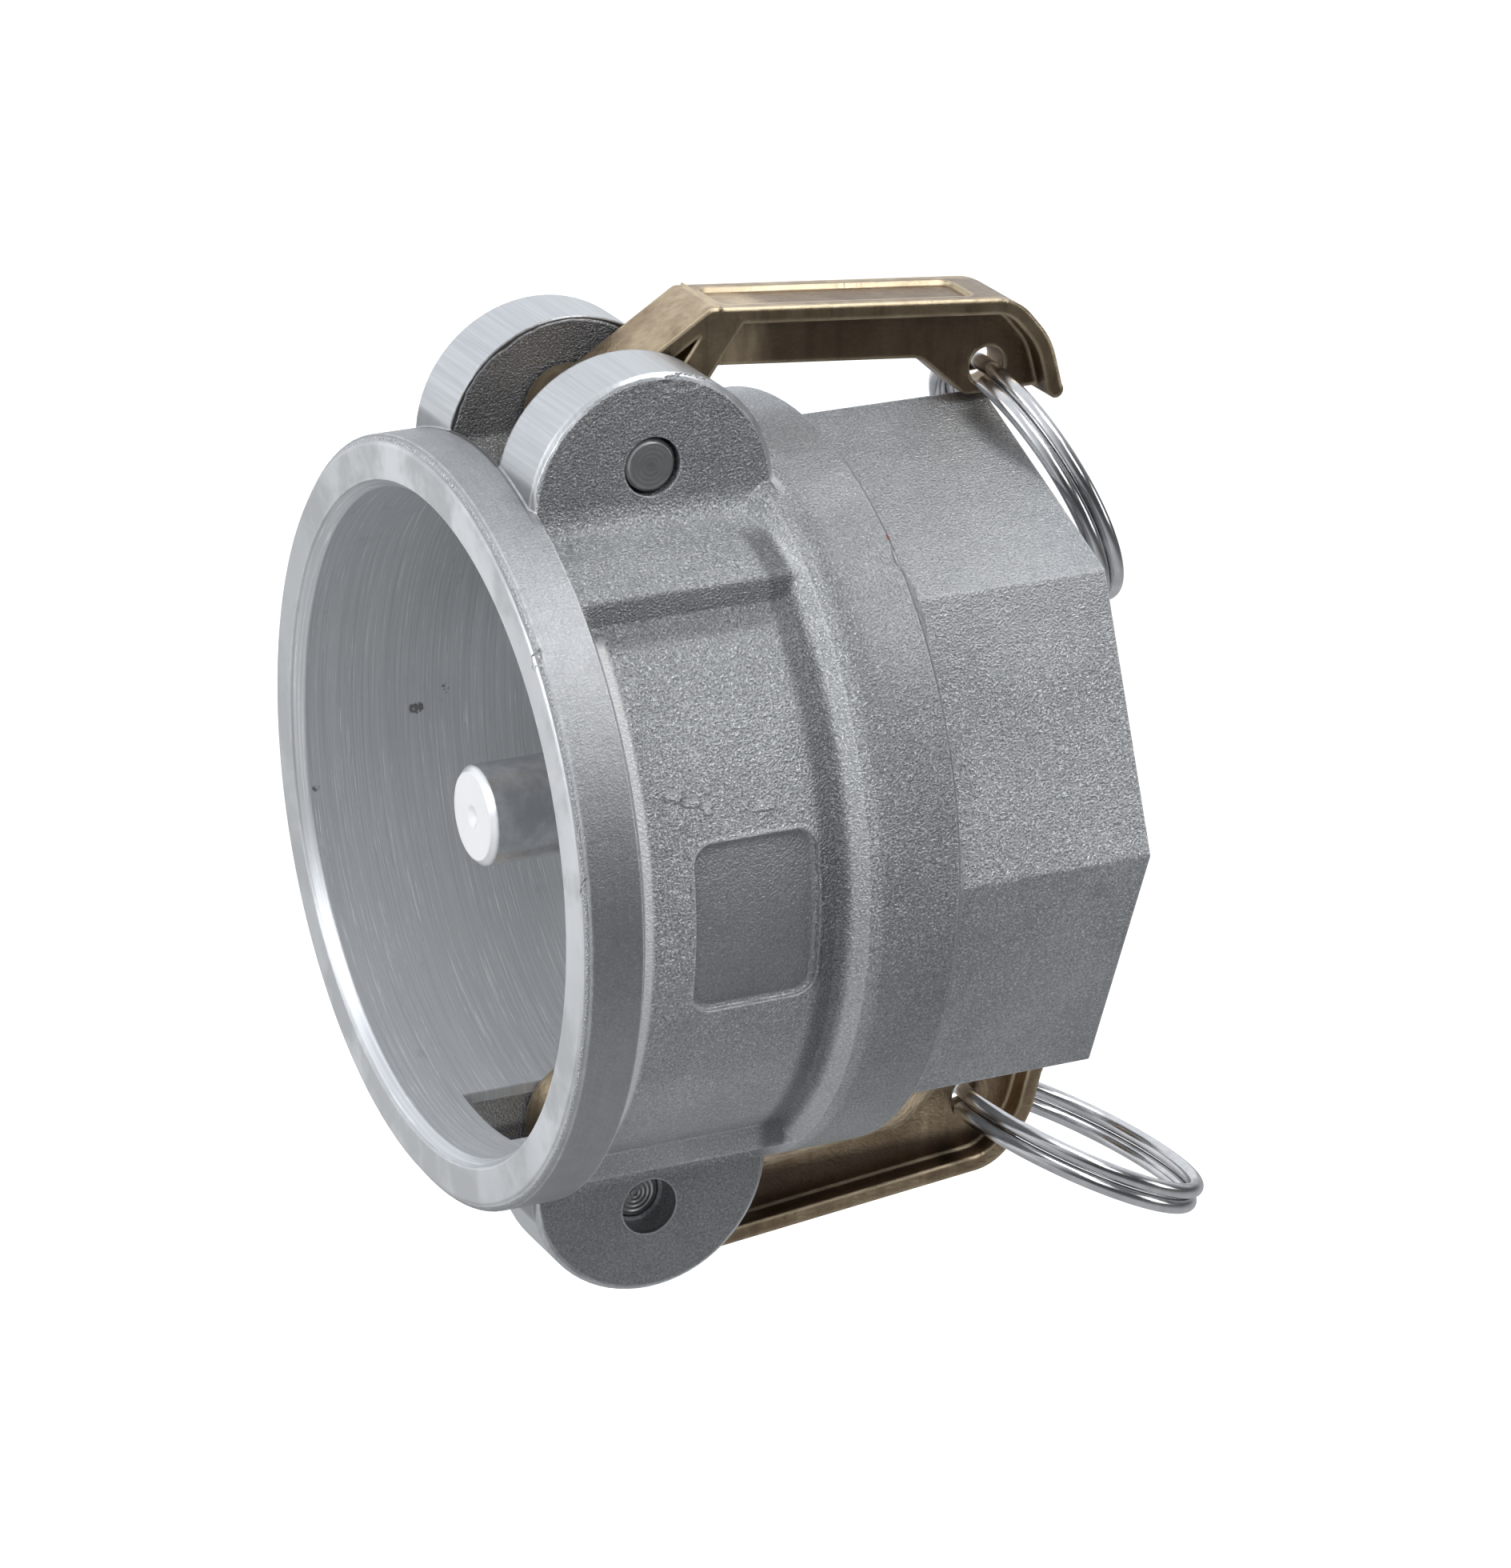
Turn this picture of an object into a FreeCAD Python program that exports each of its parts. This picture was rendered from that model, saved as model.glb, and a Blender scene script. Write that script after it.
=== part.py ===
import FreeCAD, Part
import math
import os

# Three inch cam and groove coupler: a grooved adapter enters the socket at the
# mouth, two cam handles pull it on to the gasket, and a pipe screws into the
# far end. A fixed probe on the bore axis opens the adapter's valve.
#
# Lengths are in millimetres. A station is a distance from the mouth face along
# the bore axis. The axis runs along +X, and the handles stand up along +Z and
# down along -Z. The finished pieces are moved so that the origin lies on the
# bore axis in the plane of the two pivot pins.

Vec = FreeCAD.Vector
ALONG = Vec(1, 0, 0)
ACROSS = Vec(0, 1, 0)

# Socket
socket_radius = 46.2
lead_in_length = 1.8
lead_in_height = 1.25

# Outside of the casting, from the mouth to the pipe end
face_edge_radius = 52.2
rim_chamfer = 1.0
rim_radius = 53.5
rim_length = 8.3
rim_fall = 1.8
wall_radius = 50.2
band_start = 41.3
band_rise = 3.3
band_radius = 53.1
band_end = 55.2
band_edge = 0.7
body_length = 84.85
octagon_radius = 51.0
octagon_sides = 8
octagon_edge = 0.8

# Gasket seat, throat and pipe thread
seat_station = 49.6
gasket_outer_radius = 47.25
gasket_inner_radius = 38.1
gasket_thickness = 6.35
gasket_rim_gap = 0.3
gasket_face_gap = 0.25
throat_radius = 39.5
throat_length = 7.0
thread_radius = 43.0
thread_lead_in = 1.2

# Probe, the bridge that carries it, and its fastening
probe_radius = 7.04
probe_tip_station = 7.5
probe_chamfer = 0.9
probe_centre_radius = 1.6
probe_centre_depth = 0.8
hub_radius = 10.5
hub_front_station = 40.0
hub_web = 5.6
bridge_width = 10.0
bridge_setback = 0.6
screw_radius = 4.0
screw_head_radius = 6.5
screw_head_height = 8.0
screw_engagement = 12.0
screw_key_flats = 6.0
screw_key_depth = 4.0
screw_edge = 0.5
screw_thread_gap = 0.06
screw_hole_gap = 0.5
screw_head_gap = 0.7
tapped_spare_depth = 3.0
washer_outer_radius = 6.3
washer_thickness = 2.0
washer_bore_gap = 0.2
washer_split = 1.4

# Ears and pivot pins
ear_gap = 16.6
ear_thickness = 11.3
ear_centre_station = 25.5
ear_centre_height = 48.8
ear_radius = 17.8
ear_edge = 0.8
pivot_station = 25.24
pivot_height = 53.88
pin_radius = 3.65
pin_edge = 0.5
pin_fit_gap = 0.03
pin_end_recess = 0.4
pin_pocket_radius = 4.1
pin_pocket_depth = 4.8

# Slot through the wall for each cam
slot_front_station = 9.4
slot_back_station = 38.2
slot_floor_height = 30.0

# Raised saddle that carries each pair of ears
saddle_half_width = 33.0
saddle_radius = 53.0
saddle_root_height = 46.1
saddle_root_round = 2.5
saddle_top_height = 49.0
saddle_crease_half_width = 27.0
saddle_crease_height = 44.4
saddle_crease_round = 5.0
saddle_edge_round = 1.2

# Sunk panel on the side of the casting
panel_start = 17.4
panel_end = 35.4
panel_height = 23.8
panel_corner = 3.0
panel_depth = 0.9

# Cam handle, side view in the closed position, above the bore axis
hub_clearance = 0.5
cam_hub_radius = 6.4
cam_lobe_radius = 8.0
cam_lobe_forward = 1.56
cam_lobe_drop = 2.88
pivot_running_gap = 0.06
heel = (22.3, 58.5)
knee = (40.3, 69.8)
shoulder = (87.0, 65.4)
bend = (92.4, 59.0)
tail = (94.4, 51.4)
knee_round = 1.6
shoulder_round = 8.0
bend_round = 12.0
flange_half_width = 6.0
flange_thickness = 2.2
web_half_thickness = 2.6
web_front_height = 61.0
web_back = (73.8, 57.6)
web_back_round = 4.0
foot_front_station = 80.8
foot_back_station = 90.3
foot_gap = 0.35
foot_round = 2.0
lip_radius = 1.15
leg_top = (45.3, 67.4)
leg_bottom = (34.2, 51.9)
leg_thickness = 4.6
grip_panel_start = 2.4
grip_panel_length = 38.8
grip_panel_half_width = 4.0
grip_panel_corner = 1.5
grip_panel_depth = 0.6

# Split pull rings
ring_hole_station = 84.2
ring_hole_height = 55.1
ring_hole_radius = 2.75
ring_radius = 19.4
ring_wire_radius = 1.15
ring_turn_gap = 0.1
ring_cross_angle = 26.0
ring_end_gap_angle = 16.0
top_ring_cross_place = -13.0
top_ring_lean = 25.5
top_ring_sway = -4.0
top_ring_strand = 1
bottom_ring_cross_place = 20.0
bottom_ring_lean = 116.5
bottom_ring_sway = 12.0
bottom_ring_strand = -1

# Sizes that follow from the ones above
ear_outer = ear_gap / 2 + ear_thickness
thread_start = seat_station + throat_length
groove_start = seat_station - gasket_thickness - gasket_face_gap
groove_radius = gasket_outer_radius + gasket_rim_gap
ring_half_pitch = ring_wire_radius + ring_turn_gap / 2
screw_seat_station = hub_front_station + hub_web
pin_length = 2 * ear_outer - pin_end_recess - pin_pocket_depth
foot_height = octagon_radius + foot_gap

# How far a cutter reaches past the face that it cuts
cut_past = 1.0


def turned(points):
    """Solid of revolution about the bore axis from (station, radius) points."""
    corners = [Vec(station, 0, radius) for station, radius in points]
    corners.append(corners[0])
    face = Part.Face(Part.makePolygon(corners))
    return face.revolve(Vec(0, 0, 0), ALONG, 360)


def rod(radius, start, end):
    """Cylinder on the bore axis between two stations."""
    return Part.makeCylinder(radius, end - start, Vec(start, 0, 0), ALONG)


def cross_bar(radius, station, height, half_width):
    """Cylinder across the bore axis, centred on the plane of symmetry."""
    start = Vec(station, -half_width, height)
    return Part.makeCylinder(radius, 2 * half_width, start, ACROSS)


def rounded_face(corners):
    """Face in the side view from (station, height, corner radius) points."""
    arcs = []
    for index, (x, z, radius) in enumerate(corners):
        here = Vec(x, 0, z)
        following = corners[(index + 1) % len(corners)]
        to_last = Vec(corners[index - 1][0], 0, corners[index - 1][1]) - here
        to_next = Vec(following[0], 0, following[1]) - here
        to_last.normalize()
        to_next.normalize()
        half_angle = to_last.getAngle(to_next) / 2
        setback = radius / math.tan(half_angle)
        middle = here
        if radius > 0:
            inward = (to_last + to_next).normalize()
            middle = here + inward * (radius / math.sin(half_angle) - radius)
        arcs.append((here + to_last * setback, middle, here + to_next * setback))
    edges = []
    for index, (start, middle, end) in enumerate(arcs):
        if corners[index][2] > 0:
            edges.append(Part.Arc(start, middle, end).toShape())
        edges.append(Part.makeLine(end, arcs[(index + 1) % len(arcs)][0]))
    return Part.Face(Part.Wire(edges))


def slab(face, half_width):
    """Side-view face thickened equally to both sides of the plane of symmetry."""
    moved = face.translated(Vec(0, -half_width, 0))
    return moved.extrude(Vec(0, 2 * half_width, 0))


def strip_corners(path, thickness):
    """Corners of a strip that lies on the right-hand side of a side-view path."""
    offset = []
    for index, (x, z, radius) in enumerate(path):
        normals = []
        for first, second in ((index - 1, index), (index, index + 1)):
            if first >= 0 and second < len(path):
                step = Vec(path[second][0] - path[first][0], 0, path[second][1] - path[first][1])
                step.normalize()
                normals.append(Vec(step.z, 0, -step.x))
        total = normals[0] + normals[-1]
        shift = total * (thickness / (1 + normals[0].dot(normals[-1])))
        offset.append((x + shift.x, z + shift.z, max(radius - thickness, 0)))
    return list(path) + offset[::-1]


def turned_over(shape):
    """Copy turned half a turn about the bore axis, for the lower half."""
    return shape.rotated(Vec(0, 0, 0), ALONG, 180)


def soften(shape, radius, wanted):
    """Fillet the edges whose midpoint passes the given test."""
    edges = []
    for edge in shape.Edges:
        if wanted(edge):
            edges.append(edge)
    return shape.makeFillet(radius, edges)


def octagon():
    """Eight-sided wrench section with a corner at the top and the bottom."""
    corners = []
    for side in range(octagon_sides + 1):
        angle = 2 * math.pi * side / octagon_sides
        corners.append(Vec(band_start, octagon_radius * math.sin(angle), octagon_radius * math.cos(angle)))
    prism = Part.Face(Part.makePolygon(corners)).extrude(Vec(body_length - band_start, 0, 0))
    return soften(prism, octagon_edge, lambda edge: abs(edge.tangentAt(0).x) > 0.9)


def outer_barrel():
    """Round part of the casting: rim, plain wall and the band over the gasket."""
    return turned([
        (0, 0),
        (0, face_edge_radius),
        (rim_chamfer, rim_radius),
        (rim_length, rim_radius),
        (rim_length + rim_fall, wall_radius),
        (band_start - band_rise, wall_radius),
        (band_start, band_radius),
        (band_end - band_edge, band_radius),
        (band_end, band_radius - band_edge),
        (band_end, 0),
    ])


def saddle():
    """Shelf on the wall at the foot of a pair of ears, blended into them."""
    edge_height = math.sqrt(saddle_radius ** 2 - saddle_half_width ** 2)
    half = [
        (ear_outer, saddle_top_height, 0),
        (ear_outer, saddle_root_height, saddle_root_round),
        (saddle_crease_half_width, saddle_crease_height, saddle_crease_round),
        (saddle_half_width, edge_height, saddle_edge_round),
        (saddle_half_width, slot_floor_height, 0),
    ]
    section = rounded_face(half + [(-y, z, radius) for y, z, radius in reversed(half)])
    section.rotate(Vec(0, 0, 0), Vec(0, 0, 1), 90)
    section.translate(Vec(rim_length, 0, 0))
    return section.extrude(Vec(band_start - rim_length, 0, 0))


def ear_pair():
    """Two ears with one outline, side by side across the slot."""
    disc = cross_bar(ear_radius, ear_centre_station, ear_centre_height, ear_outer)
    disc = disc.makeChamfer(ear_edge, [edge for edge in disc.Edges if len(edge.Vertexes) == 1])
    root = Part.makeBox(
        2 * ear_radius, 2 * (ear_outer - ear_edge), ear_centre_height - slot_floor_height,
        Vec(ear_centre_station - ear_radius, ear_edge - ear_outer, slot_floor_height),
    )
    gap = Part.makeBox(
        2 * (ear_radius + cut_past), ear_gap, 2 * ear_radius,
        Vec(ear_centre_station - ear_radius - cut_past, -ear_gap / 2, slot_floor_height),
    )
    tall_gap = gap.fuse(gap.translated(Vec(0, 0, ear_radius)))
    return disc.fuse(root.common(rod(band_radius, 0, band_end))).cut(tall_gap)


def slot():
    """Cutter for the window that lets the cam through the wall."""
    return Part.makeBox(
        slot_back_station - slot_front_station, ear_gap, ear_centre_height - slot_floor_height + ear_radius,
        Vec(slot_front_station, -ear_gap / 2, slot_floor_height),
    )


def pin_holes():
    """Cutter for one pair of ears: a close bore with a wider pocket at each end."""
    bore = cross_bar(pin_radius + pin_fit_gap, pivot_station, pivot_height, ear_outer + cut_past)
    for side in (-1, 1):
        start = Vec(pivot_station, side * (ear_outer + cut_past), pivot_height)
        pocket = Part.makeCylinder(pin_pocket_radius, pin_pocket_depth + cut_past, start, ACROSS * -side)
        bore = bore.fuse(pocket)
    return bore


def bore_cutter():
    """Everything that is turned out of the casting along its axis."""
    return turned([
        (-cut_past, 0),
        (-cut_past, socket_radius + lead_in_height),
        (0, socket_radius + lead_in_height),
        (lead_in_length, socket_radius),
        (groove_start, socket_radius),
        (groove_start, groove_radius),
        (seat_station, groove_radius),
        (seat_station, throat_radius),
        (thread_start, throat_radius),
        (thread_start, thread_radius),
        (body_length - thread_lead_in, thread_radius),
        (body_length, thread_radius + thread_lead_in),
        (body_length + cut_past, thread_radius + thread_lead_in),
        (body_length + cut_past, 0),
    ])


def probe_bridge():
    """Bar across the throat with a central hub that holds the probe."""
    bar = Part.makeBox(
        thread_start - seat_station - 2 * bridge_setback, 2 * (throat_radius + cut_past), bridge_width,
        Vec(seat_station + bridge_setback, -throat_radius - cut_past, -bridge_width / 2),
    )
    hub = rod(hub_radius, hub_front_station, thread_start - bridge_setback)
    hole = rod(screw_radius + screw_hole_gap, hub_front_station - cut_past, thread_start)
    head_space = rod(screw_head_radius + screw_head_gap, screw_seat_station, thread_start)
    return bar.fuse(hub).cut(hole.fuse(head_space))


def panel_cutter():
    """Shallow sunk panel with rounded corners on the -Y side."""
    half = panel_height / 2
    outline = rounded_face([
        (panel_start, -half, panel_corner),
        (panel_end, -half, panel_corner),
        (panel_end, half, panel_corner),
        (panel_start, half, panel_corner),
    ])
    block = outline.extrude(Vec(0, -rim_radius, 0))
    return block.cut(rod(wall_radius - panel_depth, 0, body_length))


def coupler_body():
    """The one-piece casting after machining."""
    solid = outer_barrel().fuse(octagon())
    upper = saddle().fuse(ear_pair())
    solid = solid.fuse([upper, turned_over(upper)]).removeSplitter()
    solid = solid.cut([bore_cutter(), panel_cutter()])
    upper_cut = slot().fuse(pin_holes())
    solid = solid.cut([upper_cut, turned_over(upper_cut)])
    return solid.fuse(probe_bridge())


def gasket():
    """Flat rubber ring, seated on the shoulder in its groove."""
    start = seat_station - gasket_thickness
    ring = rod(gasket_outer_radius, start, seat_station)
    return ring.cut(rod(gasket_inner_radius, start - cut_past, seat_station + cut_past))


def probe_rod():
    """Bar that stands on the hub, with a centre mark in its chamfered tip."""
    hole_end = hub_front_station - screw_engagement - tapped_spare_depth
    return turned([
        (probe_tip_station + probe_centre_depth, 0),
        (probe_tip_station, probe_centre_radius),
        (probe_tip_station, probe_radius - probe_chamfer),
        (probe_tip_station + probe_chamfer, probe_radius),
        (hub_front_station, probe_radius),
        (hub_front_station, screw_radius + screw_thread_gap),
        (hole_end, screw_radius + screw_thread_gap),
        (hole_end, 0),
    ])


def probe_screw():
    """Socket head screw that draws the probe on to the hub from behind."""
    under_head = screw_seat_station + washer_thickness
    head_end = under_head + screw_head_height
    screw = turned([
        (hub_front_station - screw_engagement, 0),
        (hub_front_station - screw_engagement, screw_radius - screw_edge),
        (hub_front_station - screw_engagement + screw_edge, screw_radius),
        (under_head, screw_radius),
        (under_head, screw_head_radius),
        (head_end - screw_edge, screw_head_radius),
        (head_end, screw_head_radius - screw_edge),
        (head_end, 0),
    ])
    key_radius = screw_key_flats / math.sqrt(3)
    corners = []
    for side in range(7):
        angle = side * math.pi / 3
        corners.append(Vec(head_end + cut_past, key_radius * math.cos(angle), key_radius * math.sin(angle)))
    key = Part.Face(Part.makePolygon(corners)).extrude(Vec(-screw_key_depth - cut_past, 0, 0))
    return screw.cut(key)


def probe_lock_washer():
    """Split spring washer under the screw's head."""
    end = screw_seat_station + washer_thickness
    ring = rod(washer_outer_radius, screw_seat_station, end)
    ring = ring.cut(rod(screw_radius + washer_bore_gap, screw_seat_station - cut_past, end + cut_past))
    split = Part.makeBox(
        washer_thickness + 2 * cut_past, washer_split, washer_outer_radius + cut_past,
        Vec(screw_seat_station - cut_past, -washer_split / 2, 0),
    )
    return ring.cut(split)


def pivot_pin():
    """Upper pin: flush on the -Y side, sunk in its pocket on the +Y side."""
    start = Vec(pivot_station, pin_end_recess - ear_outer, pivot_height)
    pin = Part.makeCylinder(pin_radius, pin_length, start, ACROSS)
    ends = [edge for edge in pin.Edges if len(edge.Vertexes) == 1]
    return pin.makeChamfer(pin_edge, ends)


def cam():
    """Hub of a handle with its eccentric lobe, reaching through the wall."""
    half_width = ear_gap / 2 - hub_clearance
    lobe_station = pivot_station + cam_lobe_forward
    lobe_height = pivot_height - cam_lobe_drop
    hub = cross_bar(cam_hub_radius, pivot_station, pivot_height, half_width)
    lobe = cross_bar(cam_lobe_radius, lobe_station, lobe_height, half_width)
    distance = math.hypot(cam_lobe_forward, cam_lobe_drop)
    heading = math.atan2(-cam_lobe_drop, cam_lobe_forward)
    spread = math.acos((cam_hub_radius - cam_lobe_radius) / distance)
    tangents = []
    for x, z, radius, turn in (
        (pivot_station, pivot_height, cam_hub_radius, spread),
        (lobe_station, lobe_height, cam_lobe_radius, spread),
        (lobe_station, lobe_height, cam_lobe_radius, -spread),
        (pivot_station, pivot_height, cam_hub_radius, -spread),
    ):
        tangents.append((x + radius * math.cos(heading + turn), z + radius * math.sin(heading + turn), 0))
    return slab(rounded_face(tangents), half_width).fuse([hub, lobe])


def arm_web():
    """Thin plate that fills the side view of the arm and its foot."""
    return slab(rounded_face([
        heel + (0,),
        knee + (knee_round,),
        shoulder + (shoulder_round,),
        bend + (bend_round,),
        tail + (0,),
        (foot_back_station, foot_height, foot_round),
        (foot_front_station, foot_height, foot_round),
        web_back + (web_back_round,),
        (leg_bottom[0] + leg_thickness, web_front_height, 0),
        leg_bottom + (0,),
        (pivot_station, pivot_height, 0),
    ]), web_half_thickness)


def arm_flange():
    """Wide outer flange: the slope between the ears, the grip and the tail."""
    path = [
        heel + (0,),
        knee + (knee_round,),
        shoulder + (shoulder_round,),
        bend + (bend_round,),
        tail + (0,),
    ]
    flange = slab(rounded_face(strip_corners(path, flange_thickness)), flange_half_width)
    lip = cross_bar(lip_radius, tail[0] - flange_thickness / 2, tail[1], flange_half_width)
    return flange.fuse(lip)


def arm_leg():
    """Second flange that runs from the cam up to the bend of the arm."""
    path = [leg_top + (0,), leg_bottom + (0,)]
    return slab(rounded_face(strip_corners(path, leg_thickness)), flange_half_width)


def grip_panel_cutter():
    """Sunk panel along the outer face of the grip."""
    end = grip_panel_start + grip_panel_length
    panel = rounded_face([
        (grip_panel_start, -grip_panel_half_width, grip_panel_corner),
        (end, -grip_panel_half_width, grip_panel_corner),
        (end, grip_panel_half_width, grip_panel_corner),
        (grip_panel_start, grip_panel_half_width, grip_panel_corner),
    ])
    panel.rotate(Vec(0, 0, 0), ALONG, -90)
    block = panel.translated(Vec(0, 0, -grip_panel_depth)).extrude(Vec(0, 0, 4 * grip_panel_depth))
    fall = math.degrees(math.atan2(knee[1] - shoulder[1], shoulder[0] - knee[0]))
    block.rotate(Vec(0, 0, 0), ACROSS, fall)
    return block.translated(Vec(knee[0], 0, knee[1]))


def cam_handle():
    """Upper handle, closed: cam, two flanges, web, grip panel and ring hole."""
    handle = cam().fuse([arm_web(), arm_flange(), arm_leg()]).removeSplitter()
    pin_bore = cross_bar(pin_radius + pivot_running_gap, pivot_station, pivot_height, ear_gap)
    ring_hole = cross_bar(ring_hole_radius, ring_hole_station, ring_hole_height, ear_gap)
    return handle.cut([pin_bore, ring_hole, grip_panel_cutter()])


def split_ring():
    """Split ring whose wire makes two flat turns joined by a straight crossing.

    The ring lies round the X axis. The crossing is centred on the +Z side, and
    angles grow from there towards -Y. Each turn stops short of the crossing at
    its free end.
    """
    half_cross = ring_cross_angle / 2
    flat_sweep = 360 - ring_cross_angle - ring_end_gap_angle
    pieces = []
    elbows = []
    for side, start in ((-1, half_cross + ring_end_gap_angle), (1, half_cross)):
        middle = Vec(side * ring_half_pitch, 0, ring_radius)
        section = Part.Wire(Part.makeCircle(ring_wire_radius, middle, ACROSS))
        disc = Part.Face(section).rotated(Vec(0, 0, 0), ALONG, start)
        pieces.append(disc.revolve(Vec(0, 0, 0), ALONG, flat_sweep))
        elbows.append(FreeCAD.Rotation(ALONG, side * half_cross).multVec(middle))
        pieces.append(Part.makeSphere(ring_wire_radius, elbows[-1]))
    run = elbows[1] - elbows[0]
    pieces.append(Part.makeCylinder(ring_wire_radius, run.Length, elbows[0], run))
    return pieces[0].fuse(pieces[1:])


def pull_ring(cross_place, strand, lean, sway):
    """Split ring hung in the upper handle's hole by one of its two strands.

    cross_place is the angle round the ring from the hole to the crossing. The
    ring hangs along -Z, sways towards +Y and then leans towards +X.
    """
    ring = split_ring().rotated(Vec(0, 0, 0), ALONG, cross_place)
    ring = ring.translated(Vec(-strand * ring_half_pitch, 0, -ring_radius))
    ring.rotate(Vec(0, 0, 0), ALONG, sway)
    ring.rotate(Vec(0, 0, 0), ACROSS, -lean)
    return ring.translated(Vec(ring_hole_station, 0, ring_hole_height))


def placed(shape):
    """Shape moved from mouth stations to the frame with the pins at x = 0."""
    return shape.translated(Vec(-pivot_station, 0, 0))


def main():
    os.makedirs("parts", exist_ok=True)
    upper_handle = cam_handle()
    upper_pin = pivot_pin()
    nodes = {
        "coupler_body": coupler_body(),
        "gasket": gasket(),
        "probe_rod": probe_rod(),
        "probe_screw": probe_screw(),
        "probe_lock_washer": probe_lock_washer(),
        "cam_handle_top": upper_handle,
        "cam_handle_bottom": turned_over(upper_handle),
        "pivot_pin_top": upper_pin,
        "pivot_pin_bottom": turned_over(upper_pin),
        "pull_ring_top": pull_ring(
            top_ring_cross_place, top_ring_strand, top_ring_lean, top_ring_sway,
        ),
        "pull_ring_bottom": turned_over(pull_ring(
            bottom_ring_cross_place, bottom_ring_strand, bottom_ring_lean, bottom_ring_sway,
        )),
    }
    for name, shape in nodes.items():
        placed(shape).exportStep("parts/" + name + ".step")
        print(name, shape.isValid(), len(shape.Solids), round(shape.Volume, 1))


main()
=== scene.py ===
import math
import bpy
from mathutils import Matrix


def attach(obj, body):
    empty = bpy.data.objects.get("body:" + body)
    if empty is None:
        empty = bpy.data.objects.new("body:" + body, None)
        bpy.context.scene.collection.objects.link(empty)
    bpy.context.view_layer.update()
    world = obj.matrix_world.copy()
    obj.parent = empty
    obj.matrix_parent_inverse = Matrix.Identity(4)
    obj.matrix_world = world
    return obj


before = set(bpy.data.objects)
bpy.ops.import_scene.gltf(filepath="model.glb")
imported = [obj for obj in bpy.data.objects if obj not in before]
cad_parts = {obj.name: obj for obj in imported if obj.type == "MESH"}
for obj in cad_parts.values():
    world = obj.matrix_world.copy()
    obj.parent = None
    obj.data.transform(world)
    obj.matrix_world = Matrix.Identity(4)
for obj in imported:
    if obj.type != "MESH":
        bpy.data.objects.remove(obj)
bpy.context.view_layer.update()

from types import SimpleNamespace

import bpy
from mathutils import Matrix, Vector

# The frame is in metres, and its origin lies on the bore axis in the plane of
# the two pivot pins. The sizes below are in millimetres. A station is a
# distance behind the mouth face.
MM = 0.001
PIVOT_STATION = 25.24
PIVOT_HEIGHT = 53.88
SOCKET_RADIUS = 46.2
RIM_RADIUS = 53.5
RIM_END = 8.3
WALL_RADIUS = 50.2
BAND_START = 41.3
BAND_END = 55.2
BAND_EDGE_RADIUS = 52.2
OCTAGON_RADIUS = 51.0
OCTAGON_SIDES = 8
THREAD_START = 58.0
THREAD_END = 83.0
THREAD_ROOT = 43.05
THREAD_CREST = 41.9
THREAD_PITCH = 3.175
EAR_STATION = 25.5
EAR_HEIGHT = 48.8
EAR_RADIUS = 17.8
EAR_INSIDE = 8.3
EAR_OUTSIDE = 19.6
SADDLE_HALF_WIDTH = 33.0
PANEL_STATION = 26.4
PANEL_HALF_LENGTH = 9.0
PANEL_HALF_HEIGHT = 11.8
PANEL_CORNER = 3.0
PROBE_TIP = 7.5


def station(value):
    """x in metres of a distance in millimetres behind the mouth face."""
    return (value - PIVOT_STATION) * MM


# Shader helpers

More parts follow.
